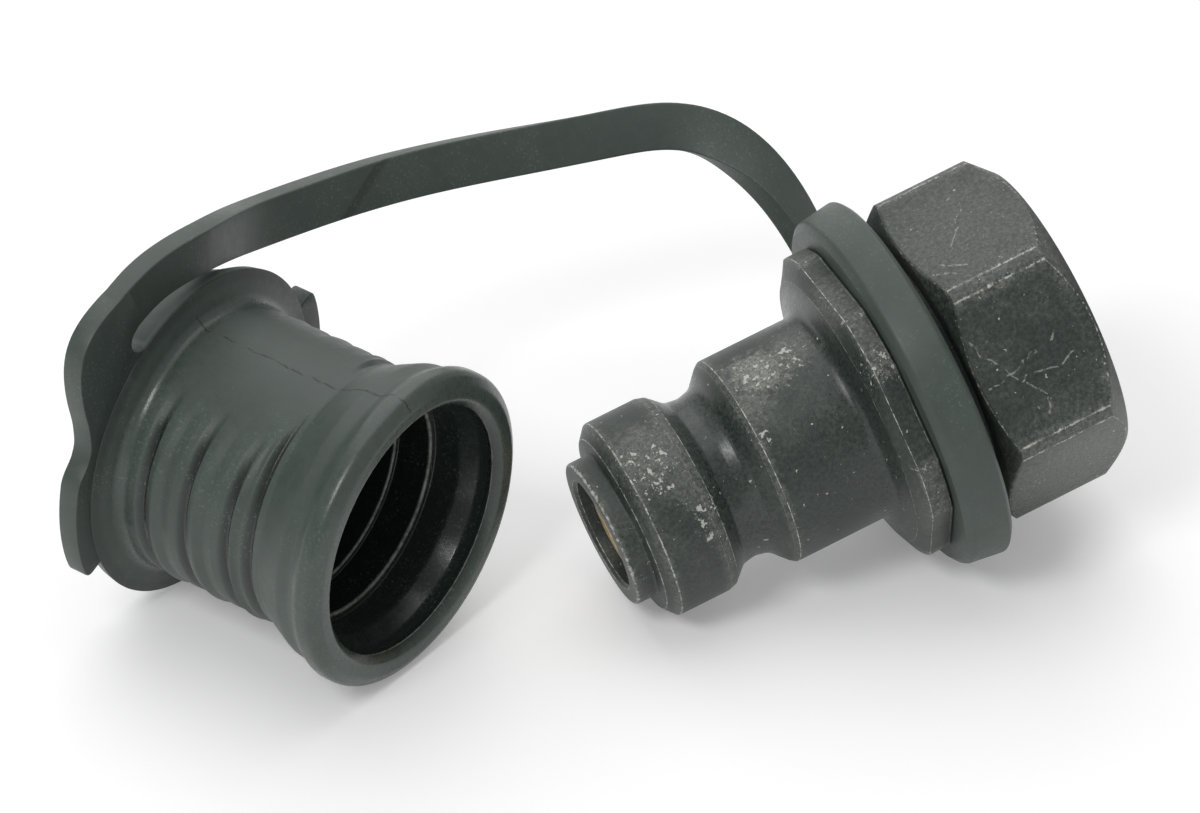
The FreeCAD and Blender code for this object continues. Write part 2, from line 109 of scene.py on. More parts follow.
# Round the cap: radius of the body, grooves between its ribs, and for places along it the
# degrees from the pad's edge where the ribs run out, less than zero over the pad
BODY_R = 12.2
RIB_GROOVES = (3.25, 7.65, 12.2, 14.75)
RIB_ENDS = ((3.0, -3.0), (7.6, -2.0), (12.2, 0.0), (13.5, -6.0), (14.7, -18.0), (16.0, -20.0))
# Where the ribs are, and the degrees over which grooves and beads fade in beside the pad
RIBS_START, RIBS_END = 2.3, 15.6
GROOVE_FADE = 30.0
BEAD_DELAY, BEAD_FADE = 4.0, 42.0
DRIFT_FADE = 45.0
# Middle, half width and fade in degrees of the part of the disc that keeps its full edge
FULL_RIM = (166.0, 38.0, 18.0)
# Outline of the ring in mm
RING = (
    (27.22, 11.8), (27.22, 15.8, 0.15), (27.75, 16.5, 0.7), (31.0, 16.95, 0.35),
    (31.42, 16.4, 0.3), (31.42, 11.8), (31.1, 11.46), (27.5, 11.46),
)

# The cap rests on its disc and on its lip
DISC_R = 15.0
LIP_R = 14.47
LIP_PLACE = 22.0
# Base plate in mm and degrees from straight down: its two lobes, and the strap's root
PLATE_INSIDE_R = 13.5
LOBE_R = 16.9
LOBE_ROUNDING = 0.9
NEAR_LOBE = (65.5, 99.0)
FAR_LOBE = (248.3, 293.0)
ROOT = (
    (100.0, 16.9), (102.5, 16.75), (105.0, 16.45), (107.5, 16.15), (110.5, 16.05), (113.0, 16.15),
    (116.0, 16.6), (120.0, 17.5), (124.0, 18.9), (128.0, 20.4), (132.0, 21.8), (136.0, 22.8),
    (140.0, 23.2), (145.0, 23.05), (150.0, 22.6),
)
SLOT_END = (150.6, 16.35, 1.35)
# The plate reaches a little way into the strap: angle, and radii of its corners
PLATE_IN_STRAP = (154.0, 22.2, 17.95)

# Middle line of the strap: angle, radius and width on the plate, then x, y, z from the nose
# tip, and roll
STRAP_ROOT = ((150.0, 20.15, 4.78), (158.0, 19.85, 4.5), (168.0, 19.2, 4.3), (181.0, 18.4, 4.2))
STRAP_PATH = (
    (-22.1, 25.8, 29.7, -81.0), (-13.8, 29.2, 28.3, -75.5), (-5.3, 31.4, 27.3, -67.9),
    (4.1, 32.2, 26.6, -62.0), (13.6, 31.5, 26.7, -55.1), (21.2, 29.2, 26.9, -54.9),
    (26.2, 24.2, 23.6, -4.0), (28.9, 18.0, 17.1, 35.8),
)
RING_MIDDLE = 29.32
RING_ANGLE = 141.6
STRAP_REACH = 14.1

# Where the camera stands: turn, height and roll in degrees, and the aim in mm
CAMERA_TURN = -24.067
CAMERA_HEIGHT = 35.066
CAMERA_ROLL = 1.098
CAMERA_AIM = (2.9338, 12.8887, 701.107)
IMAGE_WIDTH = 1200
FOCAL_PIXELS = 8000.0


class PlugSizes(bpy.types.PropertyGroup):
    flats: FloatProperty(
        name="Across flats", description="Size of the hexagon across its flats",
        default=0.027, unit="LENGTH")
    edge: FloatProperty(
        name="Edge rounding", description="Softness of the hexagon's edges",
        default=0.00032, unit="LENGTH")
    wear: FloatProperty(
        name="Worn width", description="Half the width of the worn line along an edge",
        default=0.00017, unit="LENGTH")
    pitch: FloatProperty(
        name="Thread pitch", description="Pitch of the thread in the port",
        default=0.001337, unit="LENGTH")
    thread: FloatProperty(
        name="Thread depth", description="Depth of the thread in the port",
        default=0.00086, unit="LENGTH")
    columns: IntProperty(
        name="Columns", description="Steps round the plug, a multiple of six", default=240, min=60)


class CapSizes(bpy.types.PropertyGroup):
    forward: FloatProperty(
        name="Forward", description="Place of the base plate along the plug's heading",
        default=-0.0298, unit="LENGTH")
    aside: FloatProperty(
        name="Aside", description="Place of the base plate beside the plug",
        default=0.0182, unit="LENGTH")
    heading: FloatProperty(
        name="Heading", description="Direction of the cap from the plug's heading",
        default=math.radians(-59.6), subtype="ANGLE")
    plate: FloatProperty(
        name="Plate", description="Thickness of the base plate and its strap",
        default=0.0020, unit="LENGTH")
    width: FloatProperty(
        name="Strap width", description="Width of the strap", default=0.0042, unit="LENGTH")
    groove: FloatProperty(
        name="Groove depth", description="Depth of the grooves between the ribs",
        default=0.00042, unit="LENGTH")
    bead: FloatProperty(
        name="Bead height", description="Height of the rib beside each groove",
        default=0.00022, unit="LENGTH")
    pad: FloatProperty(
        name="Pad angle", description="Middle of the smooth pad, from straight down",
        default=math.radians(174.0), subtype="ANGLE")
    pad_half: FloatProperty(
        name="Pad half width", description="Half the angle that the smooth pad covers",
        default=math.radians(29.0), subtype="ANGLE")
    columns: IntProperty(name="Columns", description="Steps round the cap", default=180, min=40)


class Colours(bpy.types.PropertyGroup):
    steel: FloatVectorProperty(
        name="Blackened steel", description="Colour of the black finish", subtype="COLOR",
        default=(0.031, 0.041, 0.036))
    # Pale colour of rubbed wear, also used as painted light on the hexagon's top and lower flats
    # and on the shank's top
    pale_wear_and_light: FloatVectorProperty(
        name="Rubbed finish", description="Colour where the black finish is rubbed thin",
        subtype="COLOR", default=(0.21, 0.22, 0.19))
    bare: FloatVectorProperty(
        name="Bare steel", description="Colour of worn edges and chips", subtype="COLOR",
        default=(0.50, 0.50, 0.46))
    rubber: FloatVectorProperty(
        name="Rubber", description="Colour of the moulded rubber", subtype="COLOR",
        default=(0.052, 0.069, 0.060))
    brass: FloatVectorProperty(
        name="Brass", description="Colour of the valve", subtype="COLOR",
        default=(0.86, 0.66, 0.36))
    floor: FloatVectorProperty(
        name="Floor", description="Colour of the floor", subtype="COLOR",
        default=(0.86, 0.86, 0.86))


# Places


def plug_place():
    """Matrix from the plug's own axis, nose tip at the origin, to the frame."""
    mounts = {mount["name"]: mount for mount in frame["record"]["mounts"]}
    axis = Vector(mounts["port"]["axis"]).normalized()
    tip = Vector(mounts["port"]["pos_m"]) - axis * PORT_MIDDLE * MM
    side = Vector((0.0, 1.0, 0.0))
    up = axis.cross(side)
    turn = Matrix((axis, side, up)).transposed()
    return Matrix.Translation(tip) @ turn.to_4x4()


def cap_place():
    """Matrix from the cap's own axis, front of its plate at the origin, to the frame."""
    sizes = bpy.context.scene.cap_sizes
    tip = plug_place().translation
    pitch = math.atan2(DISC_R - LIP_R, LIP_PLACE)
    height = DISC_R * MM * math.cos(pitch)
    base = Vector((tip.x + sizes.forward, tip.y + sizes.aside, height))
    turn = Euler((0.0, pitch, sizes.heading), "XYZ").to_matrix()
    return Matrix.Translation(base) @ turn.to_4x4()


def polar(radius, degrees):
    """Point of the cap's plate in mm, its angle counted from straight down."""
    a = math.radians(degrees)
    return Vector((0.0, -radius * math.sin(a), -radius * math.cos(a)))


# Outlines


def rounded(corners, closed):
    """Points and wear along an outline of (a, b, rounding, step) corners."""
    arc_steps = 5
    corners = [(*corner, 0, 0)[:4] for corner in corners]
    count = len(corners)
    places = [Vector(corner[:2]) for corner in corners]
    points = []
    for i, corner in enumerate(corners):
        here = places[i]
        before = places[i - 1]
        after = places[(i + 1) % count]
        inside = closed or 0 < i < count - 1
        if corner[2] > 0 and inside:
            back = (before - here).normalized()
            ahead = (after - here).normalized()
            half = back.angle(ahead) / 2.0
            reach = corner[2] / math.tan(half)
            reach = min(reach, 0.48 * (before - here).length, 0.48 * (after - here).length)
            turn = (here - before).cross(after - here)
            for k in range(arc_steps):
                t = k / (arc_steps - 1)
                bend = (here + back * reach) * (1 - t) ** 2 + here * 2 * t * (1 - t)
                bend += (here + ahead * reach) * t ** 2
                wear = math.sin(math.pi * t) if turn < 0 else 0.0
                points.append((bend.x, bend.y, wear))
        else:
            points.append((here.x, here.y, 0.0))
        if corner[3] > 0:
            start = Vector(points[-1][:2])
            run = after - start
            steps = int(run.length / corner[3])
            for k in range(1, steps):
                point = start + run * (k / steps)
                points.append((point.x, point.y, 0.0))
    return points


def deselect():
    if bpy.context.object and bpy.context.object.mode != "OBJECT":
        bpy.ops.object.mode_set(mode="OBJECT")
    bpy.ops.object.select_all(action="DESELECT")


def add_piece(operator, name="", **settings):
    """Adds an object with one of Blender's operators."""
    deselect()
    operator(**settings)
    piece = bpy.context.object
    piece.name = name or piece.name
    return piece


def edit_mesh(*steps):
    """Runs operators on the whole mesh in edit mode, and then turns its faces outwards."""
    outwards = (bpy.ops.mesh.normals_make_consistent, {"inside": False})
    bpy.ops.object.mode_set(mode="EDIT")
    for operator, settings in (*steps, outwards):
        bpy.ops.mesh.select_all(action="SELECT")
        operator(**settings)
    bpy.ops.object.mode_set(mode="OBJECT")


def lathe(name, points, columns, closed):
    """Spins an outline of (x, radius) points in mm round the x axis."""
    piece = add_piece(bpy.ops.mesh.primitive_circle_add, name,
                      vertices=len(points), radius=MM, fill_type="NOTHING")
    for vertex, point in zip(piece.data.vertices, points):
        vertex.co = (point[0] * MM, 0.0, point[1] * MM)
    if not closed:
        # The side that lies on the axis goes
        bpy.ops.object.mode_set(mode="EDIT")
        mesh = bmesh.from_edit_mesh(piece.data)
        for edge in mesh.edges:
            edge.select_set(all(abs(v.co.z) < 1e-7 for v in edge.verts))
        bmesh.update_edit_mesh(piece.data)
        bpy.ops.mesh.delete(type="EDGE")
        bpy.ops.object.mode_set(mode="OBJECT")
    full_turn = {"steps": columns, "angle": 2 * math.pi, "center": (0, 0, 0), "axis": (1, 0, 0)}
    edit_mesh((bpy.ops.mesh.spin, full_turn), (bpy.ops.mesh.remove_doubles, {"threshold": 2e-6}))
    return piece


def coordinates(piece):
    """The piece's points as an array in mm."""
    values = np.empty(len(piece.data.vertices) * 3)
    piece.data.vertices.foreach_get("co", values)
    return values.reshape(-1, 3) / MM


def move_points(piece, places):
    piece.data.vertices.foreach_set("co", (places * MM).ravel())
    piece.data.update()


def ease(value):
    """Smooth step from nothing at 0 to one at 1."""
    value = np.clip(value, 0.0, 1.0)
    return value * value * (3 - 2 * value)


def mark(piece, name, values):
    """Writes a value for each point, which the materials read."""
    layer = piece.data.attributes.new(name, "FLOAT", "POINT")
    layer.data.foreach_set("value", values.astype(np.float32))


def activate(piece):
    deselect()
    piece.select_set(True)
    bpy.context.view_layer.objects.active = piece


def smooth(piece, degrees):
    activate(piece)
    bpy.ops.object.shade_smooth_by_angle(angle=math.radians(degrees))


def apply_modifier(piece, kind, **values):
    activate(piece)
    modifier = piece.modifiers.new(kind.title(), kind)
    for key, value in values.items():
        setattr(modifier, key, value)
    bpy.ops.object.modifier_apply(modifier=modifier.name)


def finish_piece(piece, place, body, node, material):
    """Puts the piece in its place in the frame and gives it its finish."""
    piece.data.transform(place)
    piece.data.materials.clear()
    piece.data.materials.append(material)
    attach(piece, body)
    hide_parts(node)


# Steel plug


def soft_least(a, b, softness):
    """The lesser of two arrays, rounded where they meet."""
    h = np.clip(0.5 + 0.5 * (b - a) / softness, 0.0, 1.0)
    return b * (1 - h) + a * h - softness * h * (1 - h)


def build_plug():
    sizes = bpy.context.scene.plug_sizes
    outline = rounded(PLUG_OUTSIDE + PLUG_BORE, True)
    piece = lathe("plug_steel_body", outline, sizes.columns, True)
    places = coordinates(piece)
    x = places[:, 0]
    radius = np.hypot(places[:, 1], places[:, 2])
    angle = np.arctan2(places[:, 2], places[:, 1])
    rows = np.array(outline)
    nearest = np.empty(len(x), int)
    batch = 20000
    for start in range(0, len(x), batch):
        part = slice(start, start + batch)
        gap = (x[part, None] - rows[:, 0]) ** 2 + (radius[part, None] - rows[:, 1]) ** 2
        nearest[part] = gap.argmin(axis=1)
    edge = rows[nearest, 2]
    # Columns are drawn together towards the hexagon's corners
    turns = angle * 3 / math.pi
    whole = np.floor(turns + 1e-6)
    part = turns - whole
    part = part - CROWDING * np.sin(2 * math.pi * part) / (2 * math.pi)
    angle = (whole + part) * math.pi / 3
    # The hexagon's flats cut the turned form
    flats = sizes.flats / 2 / MM
    to_flat = (part - 0.5) * math.pi / 3
    bar = flats / np.cos(to_flat)
    outside = radius > UNCUT_R
    softness = np.where(x < FLANGE_END, FLANGE_SOFTNESS, 1.0) * sizes.edge / MM
    crease = np.clip(1 - np.abs(bar - radius) / (sizes.wear / MM), 0.0, 1.0)
    edge = np.where(outside, np.maximum(edge, crease), edge)
    radius = np.where(outside, soft_least(radius, bar, softness), radius)
    # Thread in the port
    in_port = (x > THREAD_START) & (x < THREAD_END) & (radius < PORT_R)
    phase = x * MM / sizes.pitch - angle / (2 * math.pi)
    fade = np.clip((x - THREAD_START) / THREAD_RUN_IN, 0, 1)
    depth = sizes.thread / MM * (0.5 - 0.5 * np.cos(2 * math.pi * phase)) * fade
    radius = np.where(in_port, radius + depth, radius)
    places[:, 1] = radius * np.cos(angle)
    places[:, 2] = radius * np.sin(angle)
    move_points(piece, places)
    mark(piece, "edge", edge)
    smooth(piece, 38)
    finish_piece(piece, plug_place(), "plug", "plug_body", steel_material())


def build_spring(material):
    """Winds the valve spring at one fixed length, though the real spring shortens as the poppet is
    pressed in.
    """
    piece = add_piece(bpy.ops.mesh.primitive_circle_add, "valve_spring_coil",
                      vertices=10, radius=SPRING_WIRE * MM, fill_type="NOTHING")
    start, end = SPRING_ENDS
    places = coordinates(piece)
    places = np.stack([start + SPRING_WIRE + places[:, 0], np.zeros(len(places)),
                       SPRING_COIL + places[:, 1]], axis=1)
    move_points(piece, places)
    rise = (end - start - 2 * SPRING_WIRE) * MM
    apply_modifier(piece, "SCREW", axis="X", angle=2 * math.pi * SPRING_TURNS, screw_offset=rise,
                   steps=36 * SPRING_TURNS, render_steps=36 * SPRING_TURNS)
    edit_mesh((bpy.ops.mesh.fill_holes, {"sides": 0}))
    smooth(piece, 40)
    place = plug_place()
    finish_piece(piece, place, "plug", "valve_spring", material)
    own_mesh(piece)


# Rubber moulding


def rib_outline():
    """Grooves round the cap, each with a soft bead and a shallow valley after it."""
    sizes = bpy.context.scene.cap_sizes
    deep = BODY_R - sizes.groove / MM
    high = BODY_R + sizes.bead / MM
    corners = []
    for i, x in enumerate(RIB_GROOVES):
        corners += [(x - 0.75, BODY_R, 0.6), (x - 0.12, deep, 0.1), (x + 0.1, deep, 0.1),
                    (x + 0.45, BODY_R, 0.3)]
        if i < len(RIB_GROOVES) - 1:
            room = RIB_GROOVES[i + 1] - x
            corners += [(x + room * 0.24, high, 0.7), (x + room * 0.46, BODY_R - 0.12, 0.9),
                        (x + room * 0.66, BODY_R + 0.03, 0.9)]
    return tuple(corners)


def fade_ribs(piece):
    """Lets the ribs run out, each at its own place, before the smooth pad."""
    sizes = bpy.context.scene.cap_sizes
    places = coordinates(piece)
    x = places[:, 0]
    radius = np.hypot(places[:, 1], places[:, 2])
    angle = np.arctan2(-places[:, 1], -places[:, 2])
    off = np.abs((angle - sizes.pad + math.pi) % (2 * math.pi) - math.pi)
    ends = np.interp(x, *np.array(RIB_ENDS).T)
    off = np.degrees(off - sizes.pad_half) - ends
    in_groove = radius < BODY_R - 0.02
    ramp = ease(np.where(in_groove, off / GROOVE_FADE, (off - BEAD_DELAY) / BEAD_FADE))
    ribbed = (x > RIBS_START) & (x < RIBS_END) & (radius > 11.5) & (radius < 12.6)
    target = BODY_R + (radius - BODY_R) * ramp
    scale = np.where(ribbed, target / np.maximum(radius, 1e-6), 1.0)
    places[:, 1:] *= scale[:, None]
    # Near their ends the grooves drift towards the lip
    drift = np.clip(1 - off / DRIFT_FADE, 0.0, 1.0) ** 2
    share = np.clip((x - RIBS_START) / (RIBS_END - RIBS_START), 0, 1)
    places[:, 0] += np.where(ribbed, drift * np.sin(math.pi * share) ** 0.5, 0.0)
    # Beside the strap the disc keeps its full edge
    full_middle, full_half, full_fade = FULL_RIM
    beside = np.abs((angle - math.radians(full_middle) + math.pi) % (2 * math.pi) - math.pi)
    near = ease((full_half - np.degrees(beside)) / full_fade)
    rim = (x < 0.05) & (radius > 13.0)
    reach = 1 + near * np.maximum(DISC_R - 0.02 - radius, 0.0) / np.maximum(radius, 1e-6)
    places[:, 1:] *= np.where(rim, reach, 1.0)[:, None]
    move_points(piece, places)


def plate_outline():
    """Corners of the base plate's lobes and of the strap's root with its slot, in mm."""
    corners = []

    def run(radius, places):
        corners.extend((radius, degrees) for degrees in places)

    def lobe(start, end):
        corners.append((LOBE_R, start, LOBE_ROUNDING))
        run(LOBE_R, np.arange(start + 6.0, end - 5.9, 2.5))

    def inside(start, end):
        run(PLATE_INSIDE_R, np.arange(start, end + 0.1, (end - start) / 8))

    lobe(NEAR_LOBE[0], NEAR_LOBE[1] + 6.0)
    root = np.array(ROOT)
    wanted = np.arange(ROOT[0][0], ROOT[-1][0] + 0.1, 1.25)
    for degrees, row in zip(wanted, spline(root[:, 0], root[:, 1:], wanted)):
        corners.append((row[0], degrees))
    degrees, outer, inner = PLATE_IN_STRAP
    corners += [(outer, degrees), (inner, degrees)]
    slot_angle, slot_r, slot_end = SLOT_END
    for k in range(11):
        t = math.pi * k / 10
        radius = slot_r + slot_end * math.cos(t)
        degrees = slot_angle - math.degrees(slot_end * math.sin(t) / slot_r)
        corners.append((radius, degrees))
    inside(SLOT_END[0], FAR_LOBE[0])
    lobe(*FAR_LOBE)
    corners.append((LOBE_R, FAR_LOBE[1], LOBE_ROUNDING))
    inside(FAR_LOBE[1], 360.0 + NEAR_LOBE[0])
    flat = []
    for radius, degrees, *rounding in corners:
        point = polar(radius, degrees)
        flat.append((point.y, point.z, *rounding))
    return rounded(flat, True)


def build_plate():
    sizes = bpy.context.scene.cap_sizes
    outline = plate_outline()
    piece = add_piece(bpy.ops.mesh.primitive_circle_add,
                      vertices=len(outline), radius=MM, fill_type="NGON")
    for vertex, point in zip(piece.data.vertices, outline):
        vertex.co = (-0.02 * MM, point[0] * MM, point[1] * MM)
    move = {"value": (-sizes.plate + 0.035 * MM, 0.0, 0.0)}
    edit_mesh((bpy.ops.mesh.extrude_region_move, {"TRANSFORM_OT_translate": move}))
    apply_modifier(piece, "BEVEL", width=0.00014, segments=2, limit_method="ANGLE", angle_limit=1.2)
    return piece


def spline(knots, values, wanted):
    """Smooth curve through rows of values at the knots, read at the wanted places."""
    count = len(knots)
    gaps = np.diff(knots)
    matrix = np.eye(count)
    right = np.zeros_like(values)
    for i in range(1, count - 1):
        matrix[i, i - 1] = gaps[i - 1]
        matrix[i, i] = 2 * (gaps[i - 1] + gaps[i])
        matrix[i, i + 1] = gaps[i]
        slope_after = (values[i + 1] - values[i]) / gaps[i]
        slope_before = (values[i] - values[i - 1]) / gaps[i - 1]
        right[i] = 6 * (slope_after - slope_before)
    bends = np.linalg.solve(matrix, right)
    found = np.clip(np.searchsorted(knots, wanted) - 1, 0, count - 2)
    h = gaps[found][:, None]
    after = (knots[found + 1] - wanted)[:, None]
    before = (wanted - knots[found])[:, None]
    a, b = bends[found], bends[found + 1]
    line = (values[found] / h - a * h / 6) * after + (values[found + 1] / h - b * h / 6) * before
    return line + a * after ** 3 / (6 * h) + b * before ** 3 / (6 * h)


def strap_stations():
    """Middle points and inward directions of the strap, in mm in the frame."""
    sizes = bpy.context.scene.cap_sizes
    cap, plug = cap_place(), plug_place()
    floor_tip = Vector((plug.translation.x, plug.translation.y, 0.0)) / MM
    middles = []
    sides = []
    for degrees, radius, width in STRAP_ROOT:
        middle = polar(radius, degrees)
        middle.x = -sizes.plate / MM / 2
        middles.append(cap.to_3x3() @ middle + cap.translation / MM)
        sides.append(cap.to_3x3() @ polar(-1.0, degrees))
    for x, y, z, roll in STRAP_PATH:
        middles.append(floor_tip + Vector((x, y, z)))
        sides.append(math.radians(roll))
    a = math.radians(RING_ANGLE)
    near = Vector((0.0, math.cos(a), math.sin(a)))
    end = Vector((RING_MIDDLE, 0, 0)) - near * STRAP_REACH
    middles.append(plug.to_3x3() @ end + plug.translation / MM)
    sides.append(plug.to_3x3() @ near)
    return middles, sides


def build_strap():
    sizes = bpy.context.scene.cap_sizes
    middles, sides = strap_stations()
    points = np.array(middles)
    knots = np.concatenate([[0], np.cumsum(np.linalg.norm(np.diff(points, axis=0), axis=1))])
    small = 0.02
    ahead = spline(knots, points, np.clip(knots + small, 0, knots[-1]))
    behind = spline(knots, points, np.clip(knots - small, 0, knots[-1]))
    runs = ahead - behind
    frames = []
    for i, side in enumerate(sides):
        along = Vector(runs[i]).normalized()
        if isinstance(side, float):
            level = along.cross(Vector((0, 0, 1))).normalized()
            upright = level.cross(along)
            side = level * math.cos(side) + upright * math.sin(side)
        across = (side - along * side.dot(along)).normalized()
        frames.append(np.concatenate([points[i], across, along.cross(across)]))
    stations = 150
    wanted = np.linspace(0, knots[-1], stations + 1)
    dense = spline(knots, np.array(frames), wanted)
    widths = [row[2] for row in STRAP_ROOT]
    widths += [sizes.width / MM] * (len(knots) - len(widths))
    half_w = np.interp(wanted, knots, widths) / 2
    half_t = sizes.plate / MM / 2
    # It starts a little thinner, inside the plate
    thin = 1 - 0.07 * np.clip(1 - wanted / 2.6, 0.0, 1.0)
    soft = 0.2
    box = [(half_t, half_t), (half_t, -half_t), (-half_t, -half_t), (-half_t, half_t)]
    section = rounded([(a, b, soft) for a, b in box], True)
    count = len(section)
    piece = add_piece(bpy.ops.mesh.primitive_grid_add,
                      x_subdivisions=count, y_subdivisions=stations, size=MM)
    places = np.empty((stations + 1, count + 1, 3))
    across = dense[:, 3:6] / np.linalg.norm(dense[:, 3:6], axis=1)[:, None]
    through = dense[:, 6:9] / np.linalg.norm(dense[:, 6:9], axis=1)[:, None]
    for k in range(count + 1):
        a, b, _ = section[k % count]
        a = (a + math.copysign(1.0, a) * (half_w - half_t))[:, None]
        b = (b * thin)[:, None]
        places[:, k] = dense[:, 0:3] + across * a + through * b
    move_points(piece, places.reshape(-1, 3))
    edit_mesh((bpy.ops.mesh.remove_doubles, {"threshold": 1e-6}),
              (bpy.ops.mesh.fill_holes, {"sides": 0}))
    return piece


def join_solid(piece, other):
    """Unites two closed pieces into one skin."""
    apply_modifier(piece, "BOOLEAN", operation="UNION", solver="EXACT", object=other)
    bpy.data.objects.remove(other)


def mark_inside(piece, outline):
    """Marks the cap's cavity and the grooves between the ribs, which the rubber paints darker as
    painted shade, and the thin edges of its steps, which it paints pale as a painted highlight.
    """
    place = cap_place().inverted()
    turn = np.array(place.to_3x3())
    places = coordinates(piece) @ turn.T + np.array(place.translation) / MM
    x = places[:, 0]
    radius = np.hypot(places[:, 1], places[:, 2])
    inside = np.clip((12.05 - radius) / 0.2, 0.0, 1.0) * (x > 0.3) * (x < 22.95)
    edge = np.zeros(len(x))
    for row_x, row_r, wear in outline:
        if wear > 0.5 and row_r < 11.7 and not 18.0 < row_x < 22.4:
            edge[np.hypot(x - row_x, radius - row_r) < 0.02] = wear
    # Painted shade in the grooves between the ribs
    hollow = np.clip((BODY_R - 0.04 - radius) / 0.3, 0.0, 1.0)
    hollow *= (x > RIBS_START) * (x < 16.0) * (radius > 11.5)
    for name, values in (("inside", inside), ("edge", edge), ("hollow", hollow)):
        mark(piece, name, values)


def build_cap():
    sizes = bpy.context.scene.cap_sizes
    outline = rounded(CAP_START + rib_outline() + CAP_LIP, False)
    piece = lathe("dust_cap_moulding", outline, sizes.columns, False)
    fade_ribs(piece)
    join_solid(piece, build_plate())
    piece.data.transform(cap_place())
    join_solid(piece, build_strap())
    ring = lathe("ring", rounded(RING, True), sizes.columns, True)
    ring.data.transform(plug_place())
    join_solid(piece, ring)
    mark_inside(piece, outline)
    smooth(piece, 33)
    finish_piece(piece, Matrix.Identity(4), "cap", "dust_cap", rubber_material())


# Shader node groups and materials


class Shading:
    """Short ways to add nodes to one shader tree."""

    def __init__(self, tree):
        self.tree = tree

    def set(self, node, inputs):
        """Links a node's inputs, or sets the ones that are given as plain values."""
        for key, value in inputs.items():
            socket = node.inputs[key]
            if isinstance(value, bpy.types.NodeSocket):
                self.tree.links.new(value, socket)
            elif socket.type == "RGBA" and len(value) == 3:
                socket.default_value = (*value, 1.0)
            else:
                socket.default_value = value
        return node

    def add(self, kind, inputs=None, **settings):
        node = self.tree.nodes.new("ShaderNode" + kind)
        for key, value in settings.items():
            setattr(node, key, value)
        return self.set(node, inputs or {})

    def math(self, operation, a, b=0.0, c=0.0, clamp=False):
        node = self.add("Math", {0: a, 1: b, 2: c}, operation=operation, use_clamp=clamp)
        return node.outputs[0]

    def line(self, value, slope, offset):
        return self.math("MULTIPLY_ADD", value, slope, offset)

    def times(self, first, *others, clamp=False):
        for other in others:
            first = self.math("MULTIPLY", first, other, clamp=clamp)
        return first

    def most(self, first, *others):
        for other in others:
            first = self.math("MAXIMUM", first, other)
        return first

    def vector(self, operation, *values, **named):
        """Vector maths: a number where the operation gives one, else a vector."""
        node = self.add("VectorMath", {**dict(enumerate(values)), **named}, operation=operation)
        number = operation in ("DISTANCE", "DOT_PRODUCT", "LENGTH")
        return node.outputs["Value" if number else "Vector"]

    def ramp(self, value, low, high, out_low=0.0, out_high=1.0):
        """Smooth step of a value from low to high."""
        inputs = {"Value": value, "From Min": low, "From Max": high,
                  "To Min": out_low, "To Max": out_high}
        return self.add("MapRange", inputs, interpolation_type="SMOOTHSTEP").outputs["Result"]

    def band(self, value, start, full, end, last):
        """One between full and end, falling to nothing at start and last."""
        return self.times(self.ramp(value, start, full), self.ramp(value, last, end))

    def blend(self, factor, first, second):
        return self.add("Mix", {0: factor, 6: first, 7: second}, data_type="RGBA").outputs[2]

    def noise(self, place, scale, detail=4.0, roughness=0.55):
        inputs = {"Vector": place, "Scale": scale, "Detail": detail, "Roughness": roughness}
        return self.add("TexNoise", inputs).outputs["Fac"]

    def turning(self, place, along, across):
        """Fine lines round the axis, as turning leaves them."""
        inputs = {"Vector": place, "Scale": (along, across, across)}
        return self.noise(self.add("Mapping", inputs).outputs[0], 1.0, 3.0)

    def attribute(self, name):
        return self.add("Attribute", attribute_name=name).outputs["Fac"]

    def effect(self, name, **inputs):
        """Mask of one of the node groups below."""
        return self.add("Group", inputs, node_tree=effect_group(name)).outputs["Mask"]

    def bumps(self, *layers):
        """Bumps on one another, each (height, strength, distance)."""
        normal = None
        for height, strength, distance in layers:
            inputs = {"Height": height, "Strength": strength, "Distance": distance}
            if normal:
                inputs["Normal"] = normal
            normal = self.add("Bump", inputs).outputs[0]
        return normal


def chips(t, place, scale, level, patch):
    """Irregular chips: the peaks of a noise, more of them where a patch mask is high."""
    lift = t.line(patch, 0.11, t.noise(place, scale, 2.5, 0.6))
    return t.ramp(t.math("SUBTRACT", lift, level), 0.0, 0.03)


def spot(t, place, middle, radius):
    """Soft patch round one point, its border broken up by noise."""
    share = t.math("DIVIDE", t.vector("DISTANCE", place, middle), radius)
    ragged = t.line(t.noise(place, 1.6, 4.0, 0.65), 1.6, -0.8)
    return t.ramp(t.math("ADD", share, ragged), 1.0, 0.35)


def edge_wear(t, edge, place, amount):
    """Broken bright lines where the mesh marks an edge."""
    broken = t.noise(place, 2.3, 7.0, 0.78)
    lift = t.times(t.math("SUBTRACT", broken, amount), 3.2)
    line = t.ramp(t.math("ADD", edge, lift), 0.75, 1.15)
    kept = t.ramp(t.noise(place, 0.55, 3.0), 0.36, 0.56, 0.25, 1.0)
    return t.times(line, kept, t.ramp(edge, 0.05, 0.3))


def scratch(t, place, start, end, width):
    """One thin scratch between two points in mm."""
    span = t.vector("SUBTRACT", end, start)
    away = t.vector("SUBTRACT", place, start)
    dot = t.vector("DOT_PRODUCT", away, span)
    along = t.math("DIVIDE", dot, t.vector("DOT_PRODUCT", span, span), clamp=True)
    gap = t.vector("DISTANCE", away, t.vector("SCALE", span, Scale=along))
    return t.ramp(gap, width, t.times(width, 0.4))


def ring_edge(t, spot, edge, width):
    """Soft band round a turned edge, given its place along the axis and its radius."""
    return t.ramp(t.vector("DISTANCE", spot, edge), width, 0.0)


